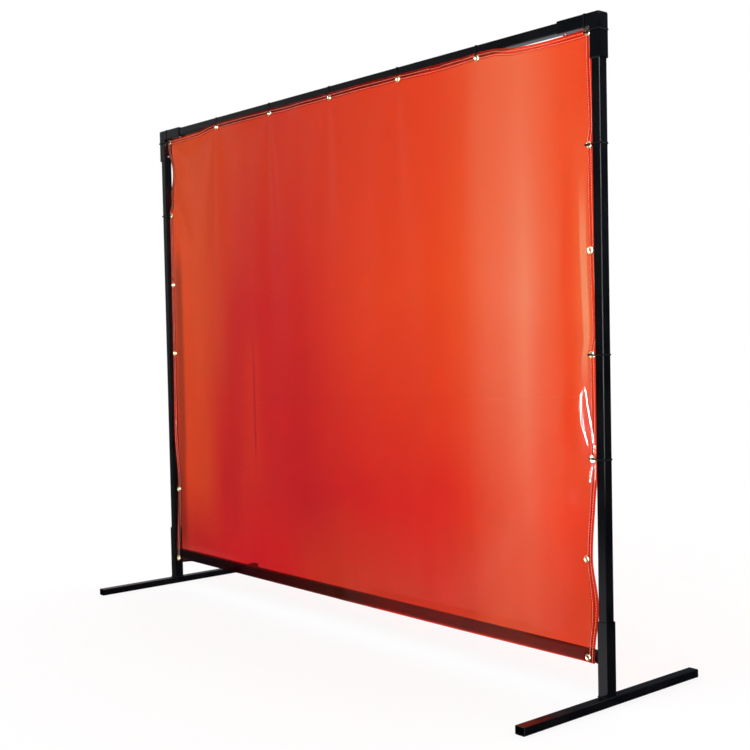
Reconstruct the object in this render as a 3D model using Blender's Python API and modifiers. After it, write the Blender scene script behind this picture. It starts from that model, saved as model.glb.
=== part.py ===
"""Welding curtain screen: a knock-down frame of square steel tube on two cross feet, with a tinted
vinyl curtain tied to it through brass grommets. Metres, +Z up, X along the screen, the front is -Y.
The origin is on the floor, in the middle of the two feet.
"""

import math

import bmesh
import bpy
from mathutils import Matrix, Vector

# ---- driving dimensions ----
FRAME_WIDTH = 2.4381
FRAME_HEIGHT = 1.9812
TUBE = 0.03175
TUBE_WALL = 0.0016
SLEEVE = 0.0381
GAP = 0.0003
SLEEVE_WALL = (SLEEVE - TUBE) / 2 - GAP
TUBE_CORNER = 0.003

FOOT_WIDTH = 0.035
FOOT_HEIGHT = 0.0254
FOOT_FRONT = 0.3683
FOOT_REAR = 0.4191
SOCKET_TOP = 0.2445
LOWER_RAIL_Z = 0.1365
SPIGOT_LENGTH = 0.060
SPIGOT_WALL = 0.002

ELBOW_ARM = 0.159
ELBOW_LEG = 0.130
ELBOW_CORNER = 0.006

BUTTON_RADIUS = 0.004
BUTTON_STEPS = 12
BUTTON_PROUD = 0.0032
BUTTON_FLANGE_RADIUS = 0.0056
BUTTON_FLANGE = 0.001
BUTTON_FROM_END = 0.020
SPRING_THICKNESS = 0.0006
SPRING_WIDTH = 0.009
SPRING_LENGTH = 0.040
SPRING_REACH = 0.007
SPRING_SPLAY = 0.006
SPRING_BEND = 0.004

CURTAIN_HALF_WIDTH = 1.178
CURTAIN_TOP = 1.953
CURTAIN_BOTTOM = 0.119
CURTAIN_THICKNESS = 0.001
CURTAIN_FRONT_Y = -0.0215
CURTAIN_SIDE_Y = -0.004
CORNER_DIP = 0.012
BOTTOM_DRAW = 0.015
LEFT_EDGE_BOW = 0.017
CORNER_DROOP = 0.016

GROMMET_INSET = 0.015
GROMMET_DROP = 0.017
CORNER_GROMMET_DROP = 0.0115
GROMMET_RADIUS = 0.010
GROMMET_HOLE = 0.0047
GROMMET_BARREL = 0.0054
GROMMETS_ACROSS = 7
TOP_PITCH = 0.374
FIRST_TOP_X = -0.760
FIRST_SIDE_PITCH = 0.323
SIDE_PITCH = 0.300
SIDE_ROWS_AT_PITCH = 5
LOOSE_ROW_LIFT = 0.009
RIGHT_CORNER_LIFT = 0.003

TIE_WIDTH = 0.0036
TIE_THICKNESS = 0.0012
TIE_HEAD = (0.0055, 0.0050, 0.0040)
TIE_BEND = 0.002
TIE_CLEARANCE = 0.0014
TIE_HOLE_OFFSET = 0.0028
TIE_IN_FRONT = 0.0062
TIE_BEHIND = 0.0045
TIE_LEAN = 0.010
CORNER_TIE_DROP = 0.0008

# ---- places worked out from them ----
POST_X = (FRAME_WIDTH - SLEEVE) / 2
FRAME_Y = (FOOT_FRONT - FOOT_REAR) / 2
RAIL_Z = FRAME_HEIGHT - SLEEVE / 2
TOP_ROW_Z = CURTAIN_TOP - GROMMET_DROP
CORNER_Z = CURTAIN_TOP - CORNER_DIP - CORNER_GROMMET_DROP
GROMMET_X = CURTAIN_HALF_WIDTH - GROMMET_INSET

# Where the top edge drops below the rail, and where the sheet leaves the rails' front for the middle
# of the uprights.
DIP_X = (0.79, 0.90)
DRAWN_IN_X = (0.92, 1.13)
DRAWN_IN_LOW_Z = (0.45, 0.69)
DROOP_X = (0.90, 1.13)
BOW_Z = (0.14, 0.42, 0.69)
SHEET_COLUMNS = (0.0, 0.30, 0.60, 0.79, 0.83, 0.86, 0.90, 0.97, 1.025, 1.08, 1.13, CURTAIN_HALF_WIDTH)
SHEET_ROWS = (CURTAIN_BOTTOM, 0.28, 0.45, 0.51, 0.57, 0.63, 0.69, 1.00, 1.31, 1.62, 1.90, CURTAIN_TOP)

SIDES = {"left": -1, "right": 1}

MATERIALS = {
    "frame_black": ((0.012, 0.012, 0.014), 0.32, 0.0),
    "curtain_vinyl": ((0.85, 0.10, 0.02), 0.12, 0.0),
    "grommet_brass": ((0.78, 0.62, 0.30), 0.28, 1.0),
    "button_steel": ((0.72, 0.73, 0.75), 0.22, 1.0),
    "spring_steel": ((0.35, 0.36, 0.38), 0.35, 1.0),
    "tie_nylon": ((0.015, 0.015, 0.015), 0.5, 0.0),
}

TO_AXIS = {
    "X": Matrix.Rotation(math.radians(90), 4, "Y"),
    "Y": Matrix.Rotation(math.radians(-90), 4, "X"),
    "Z": Matrix.Identity(4),
}
YZ_PLANE = Matrix(((0, 0, 1, 0), (1, 0, 0, 0), (0, 1, 0, 0), (0, 0, 0, 1)))


def clear_scene():
    for obj in list(bpy.data.objects):
        bpy.data.objects.remove(obj, do_unlink=True)


def new_collection(name, hidden=False):
    collection = bpy.data.collections.new(name)
    collection.hide_render = hidden
    bpy.context.scene.collection.children.link(collection)
    return collection


def make_material(name):
    colour, roughness, metallic = MATERIALS[name]
    material = bpy.data.materials.new(name)
    material.use_nodes = True
    shader = material.node_tree.nodes["Principled BSDF"]
    shader.inputs["Base Color"].default_value = (*colour, 1.0)
    shader.inputs["Roughness"].default_value = roughness
    shader.inputs["Metallic"].default_value = metallic
    return material


clear_scene()
PARTS = new_collection("welding_curtain_screen")
CUTTERS = new_collection("cutters", hidden=True)
FINISH = {name: make_material(name) for name in MATERIALS}


# ---- shape helpers ----
def rounded_corner(before, corner, after, radius, segments=2):
    """The arc of the radius that replaces the corner between the other two points."""
    here = Vector(corner)
    back = (Vector(before) - here).normalized()
    ahead = (Vector(after) - here).normalized()
    half = back.angle(ahead) / 2
    centre = here + (back + ahead).normalized() * (radius / math.sin(half))
    first = here + back * (radius / math.tan(half)) - centre
    last = here + ahead * (radius / math.tan(half)) - centre
    return [
        centre + first.lerp(last, step / segments).normalized() * radius for step in range(segments + 1)
    ]


def rounded_polygon(corners, radius, segments=2):
    points = []
    for index, corner in enumerate(corners):
        after = corners[(index + 1) % len(corners)]
        points += rounded_corner(corners[index - 1], corner, after, radius, segments)
    return points


def rectangle(width, height, radius):
    across, up = width / 2, height / 2
    return rounded_polygon([(-across, -up), (across, -up), (across, up), (-across, up)], radius)


def curve_object(outlines, half_depth, fill, closed=True):
    """A 2D curve of outlines, extruded half_depth to each side of its plane."""
    curve = bpy.data.curves.new("outline", "CURVE")
    curve.dimensions = "2D"
    curve.fill_mode = "BOTH" if fill else "NONE"
    curve.extrude = half_depth
    for outline in outlines:
        spline = curve.splines.new("POLY")
        spline.points.add(len(outline) - 1)
        for point, place in zip(spline.points, outline):
            point.co = (place[0], place[1], 0.0, 1.0)
        spline.use_cyclic_u = closed
    obj = bpy.data.objects.new("outline", curve)
    CUTTERS.objects.link(obj)
    return obj


def add_part(name, mesh, finish, smooth_angle=30):
    mesh.name = name
    mesh.materials.clear()
    mesh.materials.append(FINISH[finish])
    mesh.shade_smooth()
    mesh.set_sharp_from_angle(angle=math.radians(smooth_angle))
    obj = bpy.data.objects.new(name, mesh)
    PARTS.objects.link(obj)
    return obj


def curve_to_mesh(obj):
    """The curve's evaluated mesh with its caps welded on. The curve is removed."""
    bpy.context.view_layer.update()
    mesh = bpy.data.meshes.new_from_object(obj.evaluated_get(bpy.context.evaluated_depsgraph_get()))
    bpy.data.objects.remove(obj, do_unlink=True)
    work = bmesh.new()
    work.from_mesh(mesh)
    bmesh.ops.remove_doubles(work, verts=work.verts, dist=0.00002)
    bmesh.ops.recalc_face_normals(work, faces=work.faces)
    work.to_mesh(mesh)
    work.free()
    return mesh


def tube(name, axis, centre, length, size=(TUBE, TUBE), wall=TUBE_WALL):
    """A rectangular tube with open ends. Its size is given across its first and second cross axes."""
    outer = rectangle(*size, TUBE_CORNER)
    inner = rectangle(size[0] - 2 * wall, size[1] - 2 * wall, TUBE_CORNER / 3)
    mesh = curve_to_mesh(curve_object([outer, inner], length / 2, fill=True))
    mesh.transform(TO_AXIS[axis])
    obj = add_part(name, mesh, "frame_black")
    obj.location = centre
    return obj


def hidden_cutter(name, mesh, place):
    obj = bpy.data.objects.new(name, mesh)
    obj.matrix_world = place
    obj.hide_render = True
    obj.display_type = "WIRE"
    CUTTERS.objects.link(obj)
    return obj


def box_cutter(name, size, centre):
    work = bmesh.new()
    bmesh.ops.create_cube(work, size=1.0, matrix=Matrix.Diagonal((*size, 1.0)))
    mesh = bpy.data.meshes.new(name)
    work.to_mesh(mesh)
    work.free()
    return hidden_cutter(name, mesh, Matrix.Translation(centre))


def round_cutter(name, radius, depth, axis, centre, segments=12):
    work = bmesh.new()
    bmesh.ops.create_cone(
        work, cap_ends=True, segments=segments, radius1=radius, radius2=radius, depth=depth
    )
    mesh = bpy.data.meshes.new(name)
    work.to_mesh(mesh)
    work.free()
    return hidden_cutter(name, mesh, Matrix.Translation(centre) @ TO_AXIS[axis])


def combine(obj, other, operation):
    modifier = obj.modifiers.new(operation.lower(), "BOOLEAN")
    modifier.operation = operation
    modifier.solver = "EXACT"
    modifier.object = other


def revolve(name, profile, finish, steps, closed=True):
    """A profile of (radius, height) turned about the object's own Z axis."""
    mesh = bpy.data.meshes.new(name)
    count = len(profile)
    edges = [(i, (i + 1) % count) for i in range(count if closed else count - 1)]
    mesh.from_pydata([(r, 0.0, h) for r, h in profile], edges, [])
    obj = add_part(name, mesh, finish, smooth_angle=50)
    screw = obj.modifiers.new("turn", "SCREW")
    screw.steps = steps
    screw.render_steps = steps
    screw.use_merge_vertices = True
    screw.merge_threshold = 0.00001
    return obj


# ---- base: feet, sockets and lower rail ----
def build_base():
    for side, sign in SIDES.items():
        tube(
            f"foot_{side}", "Y", (sign * POST_X, 0.0, FOOT_HEIGHT / 2),
            FOOT_FRONT + FOOT_REAR, size=(FOOT_WIDTH, FOOT_HEIGHT),
        )
        bottom = FOOT_HEIGHT + GAP
        tube(
            f"socket_{side}", "Z", (sign * POST_X, FRAME_Y, (SOCKET_TOP + bottom) / 2),
            SOCKET_TOP - bottom, size=(SLEEVE, SLEEVE), wall=SLEEVE_WALL,
        )
        face = POST_X - SLEEVE / 2 - GAP
        spigot = TUBE - 2 * TUBE_WALL - 2 * GAP
        tube(
            f"rail_spigot_{side}", "X", (sign * (face - SPIGOT_LENGTH / 2), FRAME_Y, LOWER_RAIL_Z),
            SPIGOT_LENGTH, size=(spigot, spigot), wall=SPIGOT_WALL,
        )
    tube("lower_rail", "X", (0.0, FRAME_Y, LOWER_RAIL_Z), 2 * face)


# ---- upper frame: uprights, top rail and sleeve elbows ----
def snap_hole_places(sign):
    """Where the two snap buttons of a corner sit: (name, button centre on the sleeve's face, way out)."""
    under = Vector((sign * (FRAME_WIDTH / 2 - ELBOW_ARM + BUTTON_FROM_END), FRAME_Y, RAIL_Z - SLEEVE / 2))
    inside = Vector((sign * (POST_X - SLEEVE / 2), FRAME_Y, FRAME_HEIGHT - ELBOW_LEG + BUTTON_FROM_END))
    return [("top", under, Vector((0, 0, -1))), ("side", inside, Vector((-sign, 0, 0)))]


def build_uprights():
    top = FRAME_HEIGHT - SLEEVE
    bottom = FOOT_HEIGHT + GAP
    posts = {}
    for side, sign in SIDES.items():
        centre = (sign * POST_X, FRAME_Y, (top + bottom) / 2)
        posts[side] = tube(f"upright_{side}", "Z", centre, top - bottom)
    rail_length = FRAME_WIDTH - 2 * SLEEVE - 2 * GAP
    posts["top"] = tube("top_rail", "X", (0.0, FRAME_Y, RAIL_Z), rail_length)
    return posts


def elbow(side, sign):
    """A mitred corner of sleeve tube: an L-shaped prism with its edges rounded and two bores."""
    end_x = FRAME_WIDTH / 2
    inner_x, inner_z = end_x - SLEEVE, FRAME_HEIGHT - SLEEVE
    arm_x, leg_z = end_x - ELBOW_ARM, FRAME_HEIGHT - ELBOW_LEG
    corner = rounded_corner(
        (end_x, inner_z), (end_x, FRAME_HEIGHT), (inner_x, FRAME_HEIGHT), ELBOW_CORNER, segments=3
    )
    outline = [(arm_x, FRAME_HEIGHT), (arm_x, inner_z), (inner_x, inner_z), (inner_x, leg_z), (end_x, leg_z)]
    outline = [(sign * x, z) for x, z in outline + [tuple(point) for point in corner]]
    mesh = curve_to_mesh(curve_object([outline], SLEEVE / 2, fill=True))
    mesh.transform(Matrix.Rotation(math.radians(90), 4, "X"))
    obj = add_part(f"elbow_{side}", mesh, "frame_black")
    obj.location = (0.0, FRAME_Y, 0.0)
    bevel = obj.modifiers.new("tube corners", "BEVEL")
    bevel.width = TUBE_CORNER * 0.7
    bevel.segments = 2
    bevel.limit_method = "ANGLE"
    bevel.angle_limit = math.radians(60)
    bore = SLEEVE - 2 * SLEEVE_WALL
    over = 0.01
    reach = ELBOW_ARM - SLEEVE_WALL + over
    arm = box_cutter(
        f"elbow_arm_bore_{side}", (reach, bore, bore),
        (sign * (end_x - SLEEVE_WALL - reach / 2), FRAME_Y, RAIL_Z),
    )
    drop = ELBOW_LEG - SLEEVE_WALL + over
    leg = box_cutter(
        f"elbow_leg_bore_{side}", (bore, bore, drop),
        (sign * POST_X, FRAME_Y, FRAME_HEIGHT - SLEEVE_WALL - drop / 2),
    )
    combine(obj, arm, "DIFFERENCE")
    combine(obj, leg, "DIFFERENCE")
    return obj


def snap_button(name, face, out):
    """A domed pin with a flange inside the tube. Its axis is its own Z, which points out of the sleeve."""
    inside = -(SLEEVE - TUBE) / 2 - TUBE_WALL - GAP
    dome = [
        (BUTTON_RADIUS * math.cos(angle), BUTTON_PROUD * math.sin(angle))
        for angle in (math.radians(75), math.radians(50), math.radians(25))
    ]
    profile = [(0.0, BUTTON_PROUD), *dome, (BUTTON_RADIUS, 0.0), (BUTTON_RADIUS, inside)]
    profile += [(BUTTON_FLANGE_RADIUS, inside), (BUTTON_FLANGE_RADIUS, inside - BUTTON_FLANGE)]
    profile += [(0.0, inside - BUTTON_FLANGE)]
    obj = revolve(name, profile, "button_steel", BUTTON_STEPS, closed=False)
    obj.rotation_euler = out.to_track_quat("Z", "Y").to_euler()
    obj.location = face


def snap_spring(name, face, out, along):
    """A V of spring strip inside the tube: one leg behind the button's flange, one on the far wall."""
    half_inner = TUBE / 2 - TUBE_WALL
    button_leg = half_inner - BUTTON_FLANGE - 3 * GAP - SPRING_THICKNESS / 2
    wall_leg = -half_inner + GAP + SPRING_THICKNESS / 2
    start, end = (SPRING_REACH, button_leg), (-SPRING_REACH, wall_leg)
    upper = (SPRING_LENGTH, button_leg - SPRING_SPLAY)
    lower = (SPRING_LENGTH, wall_leg)
    path = [(-SPRING_REACH, button_leg), start]
    path += rounded_corner(start, upper, lower, SPRING_BEND, segments=3)
    path += rounded_corner(upper, lower, end, SPRING_BEND, segments=3)
    path += [end]
    ribbon = curve_object([path], SPRING_WIDTH / 2, fill=False, closed=False)
    obj = add_part(name, curve_to_mesh(ribbon), "spring_steel")
    solid = obj.modifiers.new("strip", "SOLIDIFY")
    solid.thickness = SPRING_THICKNESS
    solid.offset = 0.0
    axes = Matrix((along, out, along.cross(out))).transposed().to_4x4()
    centre = face - out * (SLEEVE / 2)
    obj.matrix_world = Matrix.Translation(centre) @ axes


def build_upper_frame():
    posts = build_uprights()
    for side, sign in SIDES.items():
        corner = elbow(side, sign)
        for place, face, out in snap_hole_places(sign):
            tube_part = posts["top"] if place == "top" else posts[side]
            hole = round_cutter(
                f"snap_hole_{side}_{place}", BUTTON_RADIUS + GAP, 2 * TUBE_CORNER + 4 * SLEEVE_WALL,
                "Z" if place == "top" else "X", face,
            )
            combine(corner, hole, "DIFFERENCE")
            combine(tube_part, hole, "DIFFERENCE")
            snap_button(f"snap_button_{side}_{place}", face, out)
            along = Vector((-sign, 0, 0)) if place == "top" else Vector((0, 0, -1))
            snap_spring(f"snap_spring_{side}_{place}", face, out, along)


# ---- curtain, grommets and ties ----
def ease(value, start, end):
    """0 at start and 1 at end, with no slope at either."""
    share = min(max((value - start) / (end - start), 0.0), 1.0)
    return share * share * (3 - 2 * share)


def curtain_y(x, z):
    """The sheet passes in front of both rails and is drawn in between the uprights at its sides."""
    drawn_in = ease(abs(x), *DRAWN_IN_X) * ease(z, *DRAWN_IN_LOW_Z)
    return FRAME_Y + CURTAIN_FRONT_Y + (CURTAIN_SIDE_Y - CURTAIN_FRONT_Y) * drawn_in


def sheet_x(x, z):
    """Below the last ties the sheet hangs free and is a little narrower, and its left edge bows in."""
    narrow = x / CURTAIN_HALF_WIDTH * BOTTOM_DRAW * (1 - ease(z, *DRAWN_IN_LOW_Z))
    low, middle, high = BOW_Z
    bow = LEFT_EDGE_BOW * ease(-x, *DROOP_X) * ease(z, low, middle) * (1 - ease(z, middle, high))
    return x - narrow + bow


def top_edge(x):
    """The top edge overlaps the rail's front and drops below it towards the corners."""
    return CURTAIN_TOP - CORNER_DIP * ease(abs(x), *DIP_X)


def bottom_edge(x):
    """The bottom edge is level, and hangs a little lower at its loose left corner."""
    return CURTAIN_BOTTOM - CORNER_DROOP * ease(-x, *DROOP_X)


def grommet_places():
    """Name to (x, z): seven along the top, then six more down each side."""
    places = {
        "top_1": (-GROMMET_X, CORNER_Z),
        f"top_{GROMMETS_ACROSS}": (GROMMET_X, CORNER_Z + RIGHT_CORNER_LIFT),
    }
    for index in range(GROMMETS_ACROSS - 2):
        places[f"top_{index + 2}"] = (FIRST_TOP_X + index * TOP_PITCH, TOP_ROW_Z)
    heights = [TOP_ROW_Z - FIRST_SIDE_PITCH - row * SIDE_PITCH for row in range(SIDE_ROWS_AT_PITCH)]
    heights[-1] += LOOSE_ROW_LIFT
    for side, sign in SIDES.items():
        lowest = bottom_edge(sign * GROMMET_X) + GROMMET_INSET
        for row, z in enumerate(heights + [lowest]):
            places[f"{side}_{row + 1}"] = (sheet_x(sign * GROMMET_X, z), z)
    return places


def build_curtain(places):
    columns = [-x for x in reversed(SHEET_COLUMNS[1:])] + list(SHEET_COLUMNS)
    work = bmesh.new()
    bmesh.ops.create_grid(
        work, x_segments=len(columns) - 1, y_segments=len(SHEET_ROWS) - 1, size=0.5
    )
    for vert in work.verts:
        x = columns[round((vert.co.x + 0.5) * (len(columns) - 1))]
        z = SHEET_ROWS[round((vert.co.y + 0.5) * (len(SHEET_ROWS) - 1))]
        z = min(bottom_edge(x) if z == CURTAIN_BOTTOM else z, top_edge(x))
        vert.co = (sheet_x(x, z), curtain_y(x, z), z)
    mesh = bpy.data.meshes.new("curtain")
    work.to_mesh(mesh)
    work.free()
    obj = add_part("curtain", mesh, "curtain_vinyl")
    solid = obj.modifiers.new("vinyl", "SOLIDIFY")
    solid.thickness = CURTAIN_THICKNESS
    solid.offset = 0.0
    for name, (x, z) in places.items():
        hole = round_cutter(
            f"hole_{name}", GROMMET_BARREL + 2 * GAP, 0.01, "Y", (x, curtain_y(x, z), z)
        )
        combine(obj, hole, "DIFFERENCE")


def build_grommets(places):
    """A clinched eyelet each: a domed flange in front, the barrel, and a flatter washer behind."""
    near = CURTAIN_THICKNESS / 2 + GAP
    profile = [
        (0.0062, near + 0.0015), (GROMMET_RADIUS - 0.0012, near + 0.0011), (GROMMET_RADIUS, near),
        (GROMMET_BARREL, near), (GROMMET_BARREL, -near),
        (GROMMET_RADIUS, -near), (GROMMET_RADIUS - 0.0008, -near - 0.0008),
        (GROMMET_HOLE, -near - 0.0009), (GROMMET_HOLE, near + 0.0006),
    ]
    for name, (x, z) in places.items():
        obj = revolve(f"grommet_{name}", profile, "grommet_brass", steps=12)
        obj.rotation_euler = (math.radians(90), 0.0, 0.0)
        obj.location = (x, curtain_y(x, z), z)


def tie_loop(name, corners, head_at, to_world, lean=Matrix.Identity(4)):
    """A strap bent round these corners of a plane, with its head standing off one straight run."""
    outline = rounded_polygon(corners, TIE_BEND)
    band = curve_to_mesh(curve_object([outline], TIE_WIDTH / 2, fill=False))
    band.transform(lean)
    obj = add_part(name, band, "tie_nylon")
    obj.matrix_world = to_world
    strap = obj.modifiers.new("strap", "SOLIDIFY")
    strap.thickness = TIE_THICKNESS
    strap.offset = 0.0
    start, end = Vector(corners[head_at]), Vector(corners[head_at + 1])
    run = (end - start).normalized()
    middle = sum((Vector(corner) for corner in corners), Vector((0.0, 0.0))) / len(corners)
    outward = Vector((run.y, -run.x))
    if outward.dot(start - middle) < 0:
        outward = -outward
    centre = (start + end) / 2 + outward * (TIE_HEAD[2] / 2 - TIE_THICKNESS / 4)
    head = box_cutter(f"{name}_head", TIE_HEAD, (0.0, 0.0, 0.0))
    turn = Matrix(((run.x, 0, -outward.x, 0), (run.y, 0, -outward.y, 0), (0, 1, 0, 0), (0, 0, 0, 1)))
    head.data.transform(lean @ Matrix.Translation((centre.x, centre.y, 0.0)) @ turn)
    head.matrix_world = to_world
    combine(obj, head, "UNION")


def tie_round_rail(name, x, z):
    """A tie through a top grommet and round the rail, in the YZ plane, leaning along the rail."""
    half = TUBE / 2 + TIE_CLEARANCE
    hole_z = z + TIE_HOLE_OFFSET
    top = RAIL_Z + half
    corners = [
        (CURTAIN_FRONT_Y - TIE_IN_FRONT, hole_z), (-half, top), (half, top), (half, RAIL_Z - half),
        (CURTAIN_FRONT_Y + TIE_BEHIND, hole_z),
    ]
    lean = Matrix.Identity(4)
    lean[2][1] = -TIE_LEAN / (top - hole_z)
    lean[2][3] = TIE_LEAN * hole_z / (top - hole_z)
    tie_loop(name, corners, 2, Matrix.Translation((x, FRAME_Y, 0.0)) @ YZ_PLANE, lean)


def tie_round_elbow_arm(name, x, z):
    """A tie through a corner grommet, which lies below the elbow, and round the elbow's arm."""
    half = SLEEVE / 2 + TIE_CLEARANCE
    hole_z = z + TIE_HOLE_OFFSET
    top, bottom = RAIL_Z + half, RAIL_Z - half
    corners = [
        (CURTAIN_SIDE_Y - TIE_BEHIND, hole_z), (-half, bottom), (-half, top), (half, top), (half, bottom),
        (CURTAIN_SIDE_Y + TIE_BEHIND, hole_z),
    ]
    tie_loop(name, corners, 3, Matrix.Translation((x, FRAME_Y, 0.0)) @ YZ_PLANE)


def tie_round_post(name, sign, z, size, height):
    """A tie through a side grommet and round the upright, in the XY plane."""
    half = size / 2 + TIE_CLEARANCE
    hole_x = GROMMET_X + TIE_HOLE_OFFSET
    sheet = curtain_y(GROMMET_X, z) - FRAME_Y
    corners = [
        (hole_x, sheet - TIE_BEHIND), (POST_X - half, -half), (POST_X + half, -half),
        (POST_X + half, half), (POST_X - half, half), (hole_x, sheet + TIE_BEHIND),
    ]
    corners = [(sign * x, y) for x, y in corners]
    tie_loop(name, corners, 1, Matrix.Translation((0.0, FRAME_Y, height)))


def build_ties(places):
    for index in range(2, GROMMETS_ACROSS):
        tie_round_rail(f"tie_top_{index}", *places[f"top_{index}"])
    for side, index in (("left", 1), ("right", GROMMETS_ACROSS)):
        x, z = places[f"top_{index}"]
        tie_round_elbow_arm(f"tie_top_{index}", x, z)
        tie_round_post(f"tie_{side}_corner", SIDES[side], z, SLEEVE, z - CORNER_TIE_DROP)
    for side, row in (("left", 1), ("right", 1), ("right", 3), ("right", 4)):
        z = places[f"{side}_{row}"][1]
        tie_round_post(f"tie_{side}_{row}", SIDES[side], z, TUBE, z)


build_base()
build_upper_frame()
PLACES = grommet_places()
build_curtain(PLACES)
build_grommets(PLACES)
build_ties(PLACES)
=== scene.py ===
"""Welding curtain screen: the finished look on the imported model.

The steel frame keeps its CAD shapes and gets a powder coat and weld beads. The curtain is a thin vinyl
sheet, hung by cloth simulation, with folded hems, double stitching, brass grommets and cable ties.
Metres, +Z up, X along the screen, the front is -Y.
"""

import math

import bmesh
import bpy
import numpy as np
from mathutils import Matrix, Vector


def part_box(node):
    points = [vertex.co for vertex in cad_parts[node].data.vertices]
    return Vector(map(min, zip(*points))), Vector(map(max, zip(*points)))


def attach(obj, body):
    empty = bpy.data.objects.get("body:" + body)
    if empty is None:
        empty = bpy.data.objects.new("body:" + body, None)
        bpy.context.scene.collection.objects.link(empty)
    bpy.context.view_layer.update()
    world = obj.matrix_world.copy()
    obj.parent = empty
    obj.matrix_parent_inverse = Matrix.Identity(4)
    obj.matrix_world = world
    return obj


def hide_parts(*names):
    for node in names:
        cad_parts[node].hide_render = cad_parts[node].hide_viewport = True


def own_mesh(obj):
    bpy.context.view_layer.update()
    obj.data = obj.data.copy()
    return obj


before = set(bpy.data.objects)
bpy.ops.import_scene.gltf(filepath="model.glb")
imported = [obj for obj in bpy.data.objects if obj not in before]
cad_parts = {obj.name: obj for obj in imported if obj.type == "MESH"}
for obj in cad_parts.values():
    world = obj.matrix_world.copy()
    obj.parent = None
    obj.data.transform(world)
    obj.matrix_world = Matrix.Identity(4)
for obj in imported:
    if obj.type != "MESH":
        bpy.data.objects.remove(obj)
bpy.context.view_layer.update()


# ---- places, from the frame ----
def middle(node):
    low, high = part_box(node)
    return (low + high) / 2


def nodes_named(start):
    """The frame's nodes whose names start like this, in order of name."""
    return [name for name in sorted(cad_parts) if name.startswith(start)]


RAIL_LOW, RAIL_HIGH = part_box("top_rail")
LOWER_LOW, LOWER_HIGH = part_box("lower_rail")
SHEET_LOW, SHEET_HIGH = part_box("curtain")
GROMMETS = {name: middle(name) for name in nodes_named("grommet_")}
TIED = set(nodes_named("grommet_top_")) | {
    "grommet_left_1", "grommet_right_1", "grommet_right_3", "grommet_right_4",
}

# ---- sizes of the sheet ----
HALF_WIDTH = SHEET_HIGH.x
CORNER_DROOP = GROMMETS["grommet_right_6"].z - GROMMETS["grommet_left_6"].z  # the left corner hangs lower
BOTTOM_Z = SHEET_LOW.z + CORNER_DROOP + 0.0035
SHEET_HEIGHT = SHEET_HIGH.z - BOTTOM_Z
FRONT_Y = GROMMETS["grommet_top_4"].y  # where it hangs before the top rail
SIDE_Y = GROMMETS["grommet_left_2"].y  # where it hangs beside the uprights
SIDE_TIE_Z = GROMMETS["grommet_right_4"].z
CORNER_DIP = 0.012  # of the top edge, towards its ends
VINYL = 0.0005
HEM_WIDTH = {"top": 0.022, "bottom": 0.010, "left": 0.022, "right": 0.022}
STITCH_ROWS = (0.0085, 0.0185)  # in from the edge
HOLE_RADIUS = 0.006
CLOTH_FRAMES = 30

BODY = "screen_frame"


# ---- scene: camera, light and floor ----
def new_object(name, data):
    thing = bpy.data.objects.new(name, data)
    bpy.context.scene.collection.objects.link(thing)
    return thing


CAMERA_PLACE = (3.3753, -2.7048, 1.0958)
CAMERA_TURNS = (49.95, 2.147, -1.176)  # yaw from -Y towards +X, pitch down and roll, in degrees
LENS = 57.00


def place_camera():
    """The camera stands to the right of the screen, at chest height, and looks slightly down."""
    yaw, pitch, roll = (math.radians(turn) for turn in CAMERA_TURNS)
    back = Vector((math.sin(yaw) * math.cos(pitch), -math.cos(yaw) * math.cos(pitch), math.sin(pitch)))
    right = (-back).cross(Vector((0, 0, 1))).normalized()
    up = back.cross(right)
    across = math.cos(roll) * right + math.sin(roll) * up
    upward = -math.sin(roll) * right + math.cos(roll) * up
    data = bpy.data.cameras.new("camera")
    data.lens = LENS
    data.clip_start, data.clip_end = 0.05, 100.0
    camera = new_object("camera", data)
    turn = Matrix((across, upward, back)).transposed().to_4x4()
    camera.matrix_world = Matrix.Translation(CAMERA_PLACE) @ turn
    bpy.context.scene.camera = camera


def area_light(name, azimuth, distance, size, height, power, aim=(0.6, 0.0, 1.0)):
    """A soft box that faces its aim point from an azimuth, in degrees from -Y to -X. It isn't seen itself."""
    aim = Vector(aim)
    angle = math.radians(azimuth)
    place = aim + Vector((-math.sin(angle), -math.cos(angle), 0.0)) * distance
    place.z = height
    data = bpy.data.lights.new(name, "AREA")
    data.shape = "RECTANGLE"
    data.size, data.size_y = size
    data.energy = power
    light = new_object(name, data)
    light.location = place
    light.rotation_mode = "QUATERNION"
    light.rotation_quaternion = (place - aim).to_track_quat("Z", "Y")
    light.visible_camera = light.visible_transmission = False
    return light


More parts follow.
